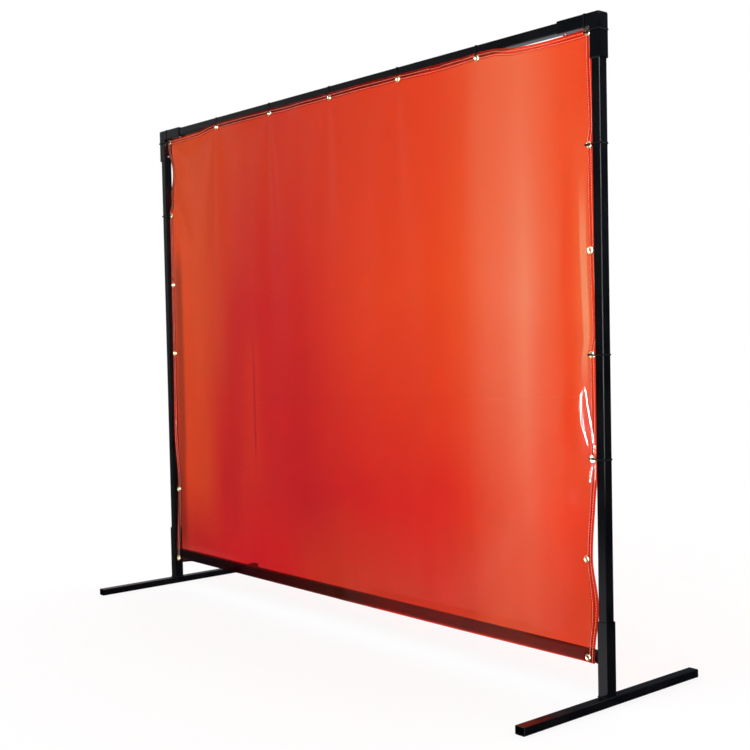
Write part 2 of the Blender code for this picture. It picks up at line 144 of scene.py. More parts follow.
def light_scene():
    """White all round to look at and through. Mirrored, the room is dark, paler high up on the left.

    Gives back the two lights that only some pieces mirror.
    """
    world = bpy.data.worlds.new("studio")
    bpy.context.scene.world = world
    world.use_nodes = True
    nodes = world.node_tree.nodes
    nodes.clear()
    x, z = x_and_z(nodes.new("ShaderNodeTexCoord").outputs["Generated"])
    sideways = map_range(x, -1.0, 1.0)

    def background(colour, strength=None):
        node = nodes.new("ShaderNodeBackground")
        if isinstance(colour, tuple):
            node.inputs["Color"].default_value = (*colour, 1.0)
        else:
            link(colour, node.inputs["Color"])
        if strength is not None:
            link(strength, node.inputs["Strength"])
        return node.outputs[0]

    white = background(grey(1.0))
    room = colour_ramp(sideways, [
        (0.035, (0.09, 0.09, 0.10)), (0.065, (0.34, 0.36, 0.37)), (0.10, (0.20, 0.21, 0.22)),
        (0.17, (0.050, 0.054, 0.064)), (0.50, (0.030, 0.035, 0.050)), (0.85, (0.022, 0.030, 0.050)),
        (0.95, (0.030, 0.036, 0.060)),
    ])
    upward = map_range(z, -0.08, 0.10)
    dark = background(room, colour_ramp(upward, [(0.0, grey(0.22)), (1.0, grey(1.0))]))
    leftward = colour_ramp(sideways, [
        (0.10, grey(0.0)), (0.15, grey(1.0)), (0.20, grey(1.0)), (0.32, grey(0.0)),
    ])
    downward = map_range(z, -0.16, -0.27)
    glow = background((0.75, 0.75, 0.80), math_node("MULTIPLY", leftward, downward))
    around = nodes.new("ShaderNodeAddShader")
    link(dark, around.inputs[0])
    link(glow, around.inputs[1])
    path = nodes.new("ShaderNodeLightPath")
    glossy, through = path.outputs["Is Glossy Ray"], path.outputs["Is Transmission Ray"]
    mirrored = math_node("SUBTRACT", glossy, through, clamp=True)
    mix = nodes.new("ShaderNodeMixShader")
    for socket, result in zip(mix.inputs, (mirrored, white, around.outputs[0])):
        link(result, socket)
    link(mix.outputs[0], nodes.new("ShaderNodeOutputWorld").inputs["Surface"])
    area_light("key", 5, 5.0, (1.4, 1.4), 5.0, 60)
    area_light("back", 200, 5.0, (2.5, 2.0), 3.0, 30)
    strip = area_light("strip", -3, 4.2, (0.42, 5.0), 1.2, 2050, aim=(1.14, 0.0, 0.85))
    strip.visible_diffuse = False
    edge = area_light("edge_strip", -6, 4.5, (0.20, 3.0), 1.6, 14, aim=(1.2, 0.0, 1.2))
    return strip, edge


def keep_off(light, things):
    """This light doesn't fall on these things."""
    group = bpy.data.collections.new(f"{light.name}_blocked")
    for thing in things:
        group.objects.link(thing)
    for entry in group.collection_objects:
        entry.light_linking.link_state = "EXCLUDE"
    light.light_linking.receiver_collection = group


def lay_floor():
    """A plain pale floor, a little bright by itself so that its far edge doesn't show."""
    mesh = bpy.data.meshes.new("floor")
    work = bmesh.new()
    bmesh.ops.create_circle(work, cap_ends=True, segments=96, radius=14.0)
    work.to_mesh(mesh)
    work.free()
    floor = new_object("floor", mesh)
    material, shader, place = new_material("floor_paint", "Generated")
    tint = colour_ramp(add_noise(place, 3.0), [(0.35, grey(0.21)), (0.65, grey(0.24))])
    link(tint, shader["Base Color"])
    shader["Roughness"].default_value = 0.9
    shader["Specular IOR Level"].default_value = 0.0
    shader["Emission Color"].default_value = (1.0, 1.0, 1.0, 1.0)
    shader["Emission Strength"].default_value = 0.78
    mesh.materials.append(material)
    floor.visible_glossy = False
    return floor


# ---- materials ----
def link(source, target):
    source.id_data.links.new(source, target)


def add_node(socket, kind):
    """A new node in the socket's tree."""
    return socket.id_data.nodes.new(kind)


def new_material(name, coordinates="Object"):
    """A material, its shader's inputs and a texture coordinate."""
    material = bpy.data.materials.new(name)
    material.use_nodes = True
    nodes = material.node_tree.nodes
    return material, nodes["Principled BSDF"].inputs, nodes.new("ShaderNodeTexCoord").outputs[coordinates]


def screen_colour(red, green, blue):
    """A colour given in 8-bit screen values, as the linear colour a shader takes."""
    return tuple(
        v / 12.92 if v <= 0.04045 else ((v + 0.055) / 1.055) ** 2.4
        for v in (red / 255, green / 255, blue / 255)
    )


def grey(value):
    return (value, value, value)


def colour_ramp(factor, stops):
    ramp = add_node(factor, "ShaderNodeValToRGB")
    elements = ramp.color_ramp.elements
    while len(elements) < len(stops):
        elements.new(0.5)
    for element, (position, colour) in zip(elements, stops):
        element.position = position
        element.color = (*colour, 1.0)
    link(factor, ramp.inputs["Fac"])
    return ramp.outputs["Color"]


def map_range(source, low, high, kind="LINEAR"):
    """0 where the source is low and 1 where it is high."""
    node = add_node(source, "ShaderNodeMapRange")
    node.interpolation_type = kind
    node.inputs["From Min"].default_value = low
    node.inputs["From Max"].default_value = high
    link(source, node.inputs["Value"])
    return node.outputs["Result"]


def x_and_z(vector):
    split = add_node(vector, "ShaderNodeSeparateXYZ")
    link(vector, split.inputs[0])
    return split.outputs["X"], split.outputs["Z"]


def add_noise(place, scale, detail=2.0, output="Fac"):
    noise = add_node(place, "ShaderNodeTexNoise")
    noise.inputs["Scale"].default_value = scale
    noise.inputs["Detail"].default_value = detail
    link(place, noise.inputs["Vector"])
    return noise.outputs[output]


def math_node(operation, first, second=None, clamp=False):
    """A Math node's result. The second value is a socket or a number."""
    node = add_node(first, "ShaderNodeMath")
    node.operation, node.use_clamp = operation, clamp
    link(first, node.inputs[0])
    if isinstance(second, float):
        node.inputs[1].default_value = second
    elif second is not None:
        link(second, node.inputs[1])
    return node.outputs[0]


def scale_vector(vector, factors, added=None):
    """The vector times the factors, plus what is added."""
    node = add_node(vector, "ShaderNodeVectorMath")
    node.operation = "MULTIPLY" if added is None else "MULTIPLY_ADD"
    link(vector, node.inputs[0])
    node.inputs[1].default_value = factors
    if added is not None:
        link(added, node.inputs[2])
    return node.outputs[0]


def mix_colours(kind, factor, first, second):
    """A Mix node's colour. The second colour is a socket or a tint."""
    mix = add_node(factor, "ShaderNodeMix")
    mix.data_type, mix.blend_type = "RGBA", kind
    link(factor, mix.inputs[0])
    link(first, mix.inputs[6])
    if isinstance(second, tuple):
        mix.inputs[7].default_value = (*second, 1.0)
    else:
        link(second, mix.inputs[7])
    return mix.outputs[2]


def add_bump(height, strength, distance, normal):
    bump = add_node(height, "ShaderNodeBump")
    bump.inputs["Strength"].default_value = strength
    bump.inputs["Distance"].default_value = distance
    link(height, bump.inputs["Height"])
    link(bump.outputs["Normal"], normal)


def powder_coat():
    """Gloss black powder coat: orange peel, faint dust and slightly uneven gloss."""
    material, shader, place = new_material("powder_coat")
    peel = add_noise(place, 420.0)
    cloud = add_noise(place, 9.0, 6.0)
    tint = colour_ramp(cloud, [(0.40, (0.0022, 0.0024, 0.0034)), (0.62, (0.0042, 0.0042, 0.0052))])
    link(tint, shader["Base Color"])
    link(colour_ramp(cloud, [(0.35, grey(0.13)), (0.65, grey(0.18))]), shader["Roughness"])
    shader["Specular IOR Level"].default_value = 0.5
    add_bump(peel, 0.06, 0.0003, shader["Normal"])
    return material


# The film's tint at four heights, in screen values at places across, with painted light in it. Each runs from
# orange
# to crimson, orange and a pale band: the crimson zones are painted shade over the orange film, the pale band a
# painted reflection.
FILM_TINT_AND_PAINTED_LIGHT = (
    (1.80, [
        (-1.13, (205, 77, 39)), (-0.93, (202, 75, 39)), (-0.63, (199, 65, 38)), (-0.35, (198, 58, 39)),
        (0.15, (211, 65, 38)), (0.55, (221, 70, 37)), (0.66, (225, 82, 45)), (0.75, (229, 100, 64)),
        (0.91, (234, 112, 76)), (0.985, (234, 101, 64)), (1.06, (234, 86, 46)), (1.14, (233, 81, 41)),
    ]),
    (1.20, [
        (-1.13, (214, 78, 37)), (-0.93, (207, 76, 39)), (-0.77, (199, 62, 38)), (-0.63, (194, 42, 38)),
        (-0.35, (197, 41, 39)), (-0.20, (200, 45, 38)), (0.15, (218, 67, 37)), (0.55, (226, 74, 36)),
        (0.66, (231, 87, 45)), (0.75, (234, 108, 72)), (0.82, (235, 114, 80)), (0.915, (237, 135, 101)),
        (0.985, (236, 111, 75)), (1.06, (234, 92, 51)), (1.14, (237, 107, 62)),
    ]),
    (0.50, [
        (-1.13, (212, 68, 37)), (-0.93, (204, 68, 36)), (-0.77, (192, 35, 36)), (-0.63, (195, 46, 38)),
        (-0.35, (192, 38, 39)), (-0.20, (187, 35, 38)), (0.15, (205, 41, 38)), (0.55, (214, 47, 37)),
        (0.66, (219, 60, 41)), (0.75, (221, 80, 55)), (0.82, (226, 90, 63)), (0.915, (232, 101, 72)),
        (0.985, (233, 88, 58)), (1.06, (233, 76, 47)), (1.14, (222, 70, 42)),
    ]),
    (0.20, [
        (-1.13, (182, 50, 35)), (-0.93, (190, 38, 35)), (-0.63, (198, 34, 37)), (-0.35, (197, 38, 36)),
        (-0.04, (192, 56, 37)), (0.55, (203, 59, 38)), (0.66, (203, 66, 40)), (0.76, (211, 82, 52)),
        (0.915, (214, 85, 55)), (1.06, (214, 72, 45)), (1.14, (210, 71, 40)),
    ]),
)
# Streaks of painted shade and painted reflection down the sheet: middle, half width, lowest and highest,
# softness, and the colour to multiply by.
PAINTED_LIGHT_STREAKS = (
    (-1.118, 0.030, 0.18, 1.42, 0.018, (0.56, 0.62, 0.80)),
    (-0.545, 0.055, 0.52, 1.08, 0.030, (1.04, 1.30, 1.02)),
    (-0.690, 0.045, 0.30, 1.25, 0.030, (0.97, 0.86, 1.0)),
    (-0.533, 0.004, 0.60, 1.02, 0.006, (0.80, 0.55, 0.9)),
    (1.085, 0.022, 0.75, 1.55, 0.014, (0.99, 0.78, 0.72)),
    (1.137, 0.011, 0.96, 1.45, 0.004, (1.03, 2.00, 3.00)),
    (1.140, 0.018, 0.73, 0.90, 0.006, (1.03, 1.15, 2.00)),
)
# Painted shade on the film where the black lower rail is behind it, darker towards the left.
RAIL_SHADE = (
    (-1.05, (0.10, 0.50, 0.90)), (-0.75, (0.16, 0.55, 0.90)), (-0.50, (0.34, 0.90, 1.0)),
    (0.0, (0.52, 1.0, 1.0)), (0.25, (1.0, 1.0, 1.0)),
)
FILM_SPAN = 2.4  # the width that the ramps cover


def film_tint_and_painted_light(place, depth):
    """The tints, with their painted shade and painted reflection, blended across and up the film, with soft,
    wandering borders.
    """
    cloud = add_noise(place, 2.6, 3.0, "Color")
    x, z = x_and_z(scale_vector(cloud, (0.03, 0.0, 0.34), place))
    shift_across, shift_up = 0.015, 0.17  # what the cloud adds on average
    across = map_range(x, -FILM_SPAN / 2 + shift_across, FILM_SPAN / 2 + shift_across)
    colour = below = None
    for height, stops in FILM_TINT_AND_PAINTED_LIGHT:
        row = colour_ramp(across, [
            (x / FILM_SPAN + 0.5, tuple(v**depth for v in screen_colour(*tint))) for x, tint in stops
        ])
        if colour is None:
            colour = row
        else:
            share = map_range(z, below + shift_up, height + shift_up)
            colour = mix_colours("MIX", share, colour, row)
        below = height
    return colour


def vinyl(name, depth=1.0):
    """Tinted clear vinyl. Its colour carries painted light: soft bands and streaks of painted shade and painted
    reflection, and painted shade where the lower rail is behind it. Depth 0 is clear.
    """
    material, shader, place = new_material(name)
    colour = film_tint_and_painted_light(place, depth)
    x, z = x_and_z(place)
    # Painted light: each streak multiplies the colour, darker for painted shade and paler for a painted
    # reflection.
    for middle_x, half_width, low, high, soft, tint in PAINTED_LIGHT_STREAKS:
        off = math_node("ABSOLUTE", math_node("SUBTRACT", x, middle_x))
        within = map_range(off, half_width + soft, max(half_width - soft, 0.0), "SMOOTHSTEP")
        over = map_range(z, low - 0.08, low + 0.08, "SMOOTHSTEP")
        under = map_range(z, high + 0.12, high - 0.12, "SMOOTHSTEP")
        share = math_node("MULTIPLY", math_node("MULTIPLY", within, over), under)
        colour = mix_colours("MULTIPLY", share, colour, tint)
    # Painted shade: the film is darkened where it hangs before the lower rail.
    before_rail = map_range(z, LOWER_HIGH.z + 0.006, LOWER_HIGH.z + 0.002)
    along_rail = map_range(x, -FILM_SPAN / 2, FILM_SPAN / 2)
    shade = colour_ramp(along_rail, [(at / FILM_SPAN + 0.5, tint) for at, tint in RAIL_SHADE])
    colour = mix_colours("MULTIPLY", before_rail, colour, shade)
    # Fine vertical streaks of a slightly darker, redder tone, stronger towards the bottom.
    fine_streaks = add_noise(scale_vector(place, (16.0, 1.0, 2.2)), 1.0, 5.0)
    streak_tone = colour_ramp(fine_streaks, [(0.30, (0.975, 0.90, 0.97)), (0.72, grey(1.0))])
    colour = mix_colours("MULTIPLY", map_range(z, 1.4, 0.4), colour, streak_tone)
    link(colour, shader["Base Color"])
    shader["Transmission Weight"].default_value = 0.93
    shader["IOR"].default_value = 1.25
    shader["Roughness"].default_value = 0.05
    add_bump(add_noise(place, 70.0), 0.012, 0.0005, shader["Normal"])
    return material


def brass():
    """Brass plate: bright on the rolled edge, duller and browner in patches."""
    material, shader, place = new_material("grommet_plate")
    patches = add_noise(place, 240.0, 4.0)
    tint = colour_ramp(patches, [(0.35, (0.62, 0.47, 0.20)), (0.6, (0.86, 0.78, 0.52))])
    link(tint, shader["Base Color"])
    rough = colour_ramp(patches, [(0.35, grey(0.36)), (0.65, grey(0.18))])
    link(rough, shader["Roughness"])
    shader["Metallic"].default_value = 1.0
    return material


def bright_steel(name, low, high, colour, metallic=1.0):
    """Plated steel of this colour, with its roughness from low to high in fine patches."""
    material, shader, place = new_material(name)
    patches = add_noise(place, 300.0)
    link(colour_ramp(patches, [(0.3, grey(low)), (0.7, grey(high))]), shader["Roughness"])
    dim = tuple(0.85 * c for c in colour)
    link(colour_ramp(patches, [(0.3, dim), (0.7, colour)]), shader["Base Color"])
    shader["Metallic"].default_value = metallic
    return material


def nylon():
    """Black nylon strap with a fine moulded texture."""
    material, shader, place = new_material("tie_strap")
    grain = add_noise(place, 900.0)
    tint = colour_ramp(grain, [(0.3, (0.004, 0.004, 0.0045)), (0.7, (0.009, 0.009, 0.010))])
    link(tint, shader["Base Color"])
    shader["Roughness"].default_value = 0.42
    shader["Specular IOR Level"].default_value = 0.25
    add_bump(grain, 0.2, 0.0002, shader["Normal"])
    return material


def thread():
    """Twisted polyester thread, pale salmon."""
    material, shader, place = new_material("hem_thread")
    wave = add_node(place, "ShaderNodeTexWave")
    wave.bands_direction = "DIAGONAL"
    wave.inputs["Scale"].default_value = 900.0
    link(place, wave.inputs["Vector"])
    tint = colour_ramp(wave.outputs["Fac"], [
        (0.2, screen_colour(204, 108, 78)), (0.8, screen_colour(234, 160, 128)),
    ])
    link(tint, shader["Base Color"])
    shader["Roughness"].default_value = 0.6
    return material


# ---- mesh helpers ----
def new_piece(name, mesh, material, body=BODY, smooth_angle=40):
    """An object of this mesh that rides a body, smooth but for edges sharper than the angle in degrees."""
    mesh.materials.clear()
    mesh.materials.append(material)
    mesh.shade_smooth()
    mesh.set_sharp_from_angle(angle=math.radians(smooth_angle))
    piece = new_object(name, mesh)
    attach(piece, body)
    return piece


def mesh_from(name, verts, faces):
    mesh = bpy.data.meshes.new(name)
    mesh.from_pydata([tuple(map(float, v)) for v in verts], [], faces)
    mesh.validate()
    return mesh


def turned(name, profile, steps=32):
    """A closed profile of (radius, height) turned about Z, as a mesh. Points on the axis are welded."""
    work = bmesh.new()
    ring = [work.verts.new((r, 0.0, h)) for r, h in profile]
    for a, b in zip(ring, ring[1:] + ring[:1]):
        work.edges.new((a, b))
    bmesh.ops.spin(
        work, geom=work.verts[:] + work.edges[:], cent=(0, 0, 0), axis=(0, 0, 1), angle=2 * math.pi,
        steps=steps, use_merge=True,
    )
    bmesh.ops.remove_doubles(work, verts=work.verts, dist=0.00001)
    bmesh.ops.recalc_face_normals(work, faces=work.faces)
    mesh = bpy.data.meshes.new(name)
    work.to_mesh(mesh)
    work.free()
    return mesh


def sweep(path, section):
    """Verts and faces of a section carried round a closed path. The section gives each path point's ring."""
    rings = [section(index, point) for index, point in enumerate(path)]
    size = len(rings[0])
    verts = [v for ring in rings for v in ring]
    faces = []
    for i in range(len(rings)):
        here, there = i * size, (i + 1) % len(rings) * size
        faces += [
            (here + k, here + (k + 1) % size, there + (k + 1) % size, there + k) for k in range(size)
        ]
    return verts, faces


def ease(value, start, end):
    """0 before the start and 1 after the end, with no slope at either."""
    share = np.clip((value - start) / (end - start), 0.0, 1.0)
    return share * share * (3 - 2 * share)


def swell(value, low, high):
    """0 outside low to high and 1 in the middle, with no slope at the ends."""
    share = np.clip((value - low) / (high - low), 0.0, 1.0)
    return np.sin(math.pi * share) ** 2


# ---- the hung sheet ----
def start_shape(across, up):
    """Where each point of the flat cut hangs before the simulation: x, y, z arrays."""
    # The top edge dips at its ends and between the last two ties, and the left bottom corner hangs lower.
    dip = CORNER_DIP * ease(np.abs(across), 0.79, 0.90) * ease(up, SHEET_HEIGHT - 0.40, SHEET_HEIGHT)
    droop = CORNER_DROOP * ease(-across, 1.04, 1.16) * (1 - ease(up, 0.0, 0.40))
    z = BOTTOM_Z + up - dip - droop
    beside = swell(np.abs(across), 0.84, 1.17)
    z -= np.where(across > 0, 0.006, 0.003) * beside * ease(up, SHEET_HEIGHT - 0.035, SHEET_HEIGHT)
    # Below the side ties the sheet draws in, and its loose edges bow.
    edge = np.abs(across) / HALF_WIDTH
    narrow = (GROMMETS["grommet_right_3"].x - GROMMETS["grommet_right_6"].x) * (1 - ease(z, 0.45, 0.69))
    x = across - np.sign(across) * edge * narrow
    near_left = ease(-across, 0.98, HALF_WIDTH)
    x += ease(across, 1.05, HALF_WIDTH) * (0.014 * swell(z, 0.13, 0.43) + 0.007 * (1 - ease(z, 0.12, 0.34)))
    x += near_left * (GROMMETS["grommet_left_5"].x - GROMMETS["grommet_left_6"].x) * swell(z, 0.14, 0.70)
    x += near_left * 0.036 * swell(z, 1.69, 1.91)
    # Its sides are drawn back to the uprights.
    drawn_in = ease(np.abs(across), 0.96, 1.15) * ease(z, 0.45, 0.69)
    y = FRONT_Y + (SIDE_Y - FRONT_Y) * drawn_in
    y += near_left * 0.008 * swell(z, 1.69, 1.91)
    y += 0.010 * ease(across, 1.145, HALF_WIDTH) * swell(z, 0.155, 0.45)
    return x, y, z


# Creases near the ties: a grommet, the crease's height and width, and its points across and up from there.
CREASES = (
    ("grommet_right_4", 0.0035, 0.0078, (
        (-0.033, 0.226), (-0.040, 0.200), (-0.047, 0.165), (-0.046, 0.120), (-0.036, 0.075), (-0.020, 0.030),
        (-0.008, 0.004), (-0.002, -0.008),
    )),
    ("grommet_right_4", 0.0028, 0.0056, (
        (-0.033, 0.226), (-0.027, 0.193), (-0.023, 0.165), (-0.014, 0.120), (-0.005, 0.075), (0.001, 0.035),
        (0.003, 0.018),
    )),
    ("grommet_right_4", 0.0035, 0.0058, ((0.000, 0.045), (0.004, 0.030), (0.001, 0.012))),
    ("grommet_right_4", 0.0032, 0.0056, ((0.0, -0.010), (-0.006, -0.024), (-0.013, -0.045), (-0.015, -0.070))),
    ("grommet_right_4", 0.0025, 0.0046, ((0.004, -0.010), (0.006, -0.030), (0.003, -0.060))),
    ("grommet_left_1", 0.0012, 0.0100, ((0.006, 0.030), (0.030, 0.140), (0.010, 0.195))),
    ("grommet_top_1", 0.0008, 0.0080, ((0.020, -0.008), (0.070, -0.020), (0.130, -0.050))),
)


def rounded(line):
    """The line with its corners cut off, its ends kept."""
    near, far = 0.75 * line[:-1] + 0.25 * line[1:], 0.25 * line[:-1] + 0.75 * line[1:]
    between = np.stack((near, far), axis=1).reshape(-1, line.shape[1])
    return np.concatenate((line[:1], between[1:-1], line[-1:]))


def creases(x, z):
    """How far the creases stand forward at these places."""
    forward = np.zeros_like(x)
    for name, height, width, points in CREASES:
        origin = GROMMETS[name]
        line = rounded(rounded(np.array([(origin.x + a, origin.z + b) for a, b in points])))
        lengths = np.hypot(*(line[1:] - line[:-1]).T)
        run, total = 0.0, lengths.sum()
        nearest, along = np.full_like(x, 9.0), np.zeros_like(x)
        for (x0, z0), (x1, z1), length in zip(line[:-1], line[1:], lengths):
            share = np.clip(((x - x0) * (x1 - x0) + (z - z0) * (z1 - z0)) / length**2, 0.0, 1.0)
            distance = np.hypot(x - x0 - share * (x1 - x0), z - z0 - share * (z1 - z0))
            closer = distance < nearest
            nearest = np.where(closer, distance, nearest)
            along = np.where(closer, (run + share * length) / total, along)
            run += length
        # A crease rises a little along its way and fades out close to its ends.
        taper = (0.90 + 0.35 * along) * np.sin(math.pi * np.clip(0.04 + 0.92 * along, 0, 1)) ** 0.22
        forward = np.maximum(forward, height * taper * np.exp(-((nearest / width) ** 2)))
    return forward


def beside_tie(x, z):
    """1 where the sheet is drawn taut beside the lowest tie on the right, 0 away from there."""
    below = ease(z, SIDE_TIE_Z - 0.16, SIDE_TIE_Z - 0.07)
    above = ease(z, SIDE_TIE_Z + 0.22, SIDE_TIE_Z + 0.34)
    return ease(x, 1.03, 1.09) * below * (1 - above)


def waves(x, z):
    """The slack in the loose lower part and the faint cockles that the roll leaves down the sheet."""
    loose = 1 - ease(z, 0.35, 0.95)
    forward = 0.0016 * loose * np.sin(2 * math.pi * (x / 0.62 + 0.10 * np.sin(3.0 * z)) + 0.6)
    flatter = 0.35 + 0.65 * ease(x, -0.90, -0.20)
    forward += 0.0006 * flatter * np.sin(2 * math.pi * x / 0.29 + 1.3 * np.sin(1.7 * z) + 0.9)
    forward += 0.0003 * flatter * np.sin(2 * math.pi * x / 0.121 + 2.0 * np.sin(1.1 * z + 0.4))
    inside = ease(1.12 - np.abs(x), 0.0, 0.10) * ease(RAIL_LOW.z - z, 0.0, 0.12)
    return forward * (inside * (1 - beside_tie(x, z)))


class Sheet:
    """The hung sheet as a grid of points over its flat cut."""

    def __init__(self, across, up, points):
        self.across, self.up, self.points = across, up, points
        along = np.gradient(points, across, axis=1)
        upward = np.gradient(points, up, axis=0)
        normals = np.cross(along, upward)
        self.normals = normals / np.linalg.norm(normals, axis=2, keepdims=True)

    def at(self, across, up):
        """Points and front normals at these places of the cut."""
        across = np.clip(across, self.across[0], self.across[-1])
        up = np.clip(up, self.up[0], self.up[-1])
        column = np.clip(np.searchsorted(self.across, across) - 1, 0, len(self.across) - 2)
        row = np.clip(np.searchsorted(self.up, up) - 1, 0, len(self.up) - 2)
        a = ((across - self.across[column]) / (self.across[column + 1] - self.across[column]))[..., None]
        b = ((up - self.up[row]) / (self.up[row + 1] - self.up[row]))[..., None]
        found = []
        for grid in (self.points, self.normals):
            low = grid[row, column] * (1 - a) + grid[row, column + 1] * a
            high = grid[row + 1, column] * (1 - a) + grid[row + 1, column + 1] * a
            found.append(low * (1 - b) + high * b)
        return found[0], found[1] / np.linalg.norm(found[1], axis=-1, keepdims=True)


def grid_faces(rows, columns, offset=0):
    """The faces between a grid's verts, as tuples."""
    index = np.arange(rows * columns).reshape(rows, columns) + offset
    quads = np.stack((index[:-1, :-1], index[:-1, 1:], index[1:, 1:], index[1:, :-1]), axis=-1)
    return [tuple(quad) for quad in quads.reshape(-1, 4).tolist()]


def closed_sheet(name, points, normals, thickness, behind=0.0):
    """A closed thin mesh round a grid of points: front face, back face and the rim between them."""
    rows, columns = points.shape[:2]
    front = points - normals * behind
    back = front - normals * thickness
    verts = np.concatenate((front.reshape(-1, 3), back.reshape(-1, 3)))
    count = rows * columns
    faces = grid_faces(rows, columns) + [quad[::-1] for quad in grid_faces(rows, columns, count)]
    index = np.arange(count).reshape(rows, columns)
    rim = [*index[0, :], *index[1:, -1], *index[-1, -2::-1], *index[-2:0:-1, 0]]
    for a, b in zip(rim, rim[1:] + rim[:1]):
        faces.append((int(b), int(a), int(a) + count, int(b) + count))
    return mesh_from(name, verts, faces)


def hang(points):
    """The grid after its cloth simulation: held at its grommets, loosely at those without a tie."""
    rows, columns = points.shape[:2]
    flat = points.reshape(-1, 3)
    cloth_object = new_object("hanging", mesh_from("hanging", flat, grid_faces(rows, columns)))
    held = cloth_object.vertex_groups.new(name="held")
    for name, place in GROMMETS.items():
        distance = np.hypot(flat[:, 0] - place.x, flat[:, 2] - place.z)
        weight = 1.0 if name in TIED else 0.25
        held.add([int(i) for i in np.argsort(distance)[:4]], weight, "REPLACE")
    cloth = cloth_object.modifiers.new("cloth", "CLOTH")
    settings = cloth.settings
    settings.quality = 6
    settings.mass = 0.2
    settings.tension_stiffness = settings.compression_stiffness = 60
    settings.shear_stiffness = 30
    settings.bending_stiffness = 8
    settings.air_damping = 3
    settings.vertex_group_mass = "held"
    settings.shrink_min = -0.0015
    cloth.point_cache.frame_start, cloth.point_cache.frame_end = 1, CLOTH_FRAMES
    scene = bpy.context.scene
    for step in range(1, CLOTH_FRAMES + 1):
        scene.frame_set(step)
    graph = bpy.context.evaluated_depsgraph_get()
    result = cloth_object.evaluated_get(graph).to_mesh()
    moved = np.empty(len(result.vertices) * 3)
    result.vertices.foreach_get("co", moved)
    moved = moved.reshape(rows, columns, 3)
    bpy.data.objects.remove(cloth_object, do_unlink=True)
    scene.frame_set(1)
    return moved


def read_between(values, knots, places, axis):
    """An even grid of values read at other places along an axis, by Catmull-Rom curves."""
    grid = np.moveaxis(values, axis, 0)
    padded = np.concatenate((2 * grid[:1] - grid[1:2], grid, 2 * grid[-1:] - grid[-2:-1]))
    position = (places - knots[0]) / (knots[1] - knots[0])
    index = np.clip(position.astype(int), 0, len(knots) - 2)
    t = (position - index).reshape(-1, *(1,) * (grid.ndim - 1))
    before, here, there, after = (padded[index + step] for step in range(4))
    curve = 0.5 * (
        2 * here + (there - before) * t + (2 * before - 5 * here + 4 * there - after) * t**2
        + (3 * here - before - 3 * there + after) * t**3
    )
    return np.moveaxis(curve, 0, axis)


def graded(stops):
    """Places from stop to stop, each stretch at its own spacing: (start, spacing), ..., (end, None)."""
    runs = [
        np.linspace(start, end, max(2, round((end - start) / spacing) + 1))[:-1]
        for (start, spacing), (end, _) in zip(stops[:-1], stops[1:])
    ]
    return np.concatenate(runs + [[stops[-1][0]]])


def make_sheet():
    """The hung sheet: simulated on an even grid, then read on a grid that is fine near the ties and edges."""
    across = np.linspace(-HALF_WIDTH, HALF_WIDTH, 133)
    up = np.linspace(0.0, SHEET_HEIGHT, 104)
    tie_up = SIDE_TIE_Z - BOTTOM_Z
    fine_across = graded([
        (-HALF_WIDTH, 0.0025), (-1.06, 0.009), (1.06, 0.003), (1.098, 0.0012), (HALF_WIDTH, None),
    ])
    fine_up = graded([
        (0.0, 0.009), (tie_up - 0.09, 0.0022), (tie_up + 0.25, 0.009), (SHEET_HEIGHT - 0.05, 0.003),
        (SHEET_HEIGHT, None),
    ])
    start = np.stack(start_shape(*np.meshgrid(across, up)), axis=-1)
    fine = np.stack(start_shape(*np.meshgrid(fine_across, fine_up)), axis=-1)
    shift = np.clip(hang(start) - start, -0.012, 0.012)
    shift = read_between(read_between(shift, up, fine_up, 0), across, fine_across, 1)
    shift[..., 1] *= 1 - 0.9 * beside_tie(fine[..., 0], fine[..., 2])
    fine = fine + shift
    fine[..., 1] -= waves(fine[..., 0], fine[..., 2]) + creases(fine[..., 0], fine[..., 2])
    # It stays in front of both rails.
    before_rails = (fine[..., 2] > RAIL_LOW.z - 0.004) & (np.abs(fine[..., 0]) < 0.90)
    before_rails |= fine[..., 2] < LOWER_HIGH.z + 0.02
    fine[..., 1] = np.where(before_rails, np.minimum(fine[..., 1], RAIL_LOW.y - 0.003), fine[..., 1])
    return Sheet(fine_across, fine_up, fine)


def cut_holes(mesh):
    """The mesh with the grommet holes cut through it."""
    work = bmesh.new()
    for place in GROMMETS.values():
        bmesh.ops.create_cone(
            work, cap_ends=True, segments=20, radius1=HOLE_RADIUS, radius2=HOLE_RADIUS, depth=0.03,
            matrix=Matrix.Translation(place) @ Matrix.Rotation(math.radians(90), 4, "X"),
        )
    holes = bpy.data.meshes.new("holes")
    work.to_mesh(holes)
    work.free()
    uncut, cutter = new_object("uncut", mesh), new_object("holes", holes)
    cut = uncut.modifiers.new("holes", "BOOLEAN")
    cut.operation, cut.solver, cut.object = "DIFFERENCE", "MANIFOLD", cutter
    graph = bpy.context.evaluated_depsgraph_get()
    result = bpy.data.meshes.new_from_object(uncut.evaluated_get(graph))
    for thing in (uncut, cutter):
        bpy.data.objects.remove(thing, do_unlink=True)
    return result


def edge_paths():
    """The sheet's edges: length, and the cut's places (across, up) at a run along and a depth in."""
    wide, high = HALF_WIDTH, SHEET_HEIGHT
    return {
        "top": (2 * wide, lambda run, depth: (run - wide, high - depth)),
        "bottom": (2 * wide, lambda run, depth: (run - wide, depth)),
        "left": (high, lambda run, depth: (-wide + depth, run)),
        "right": (high, lambda run, depth: (wide - depth, run)),
    }


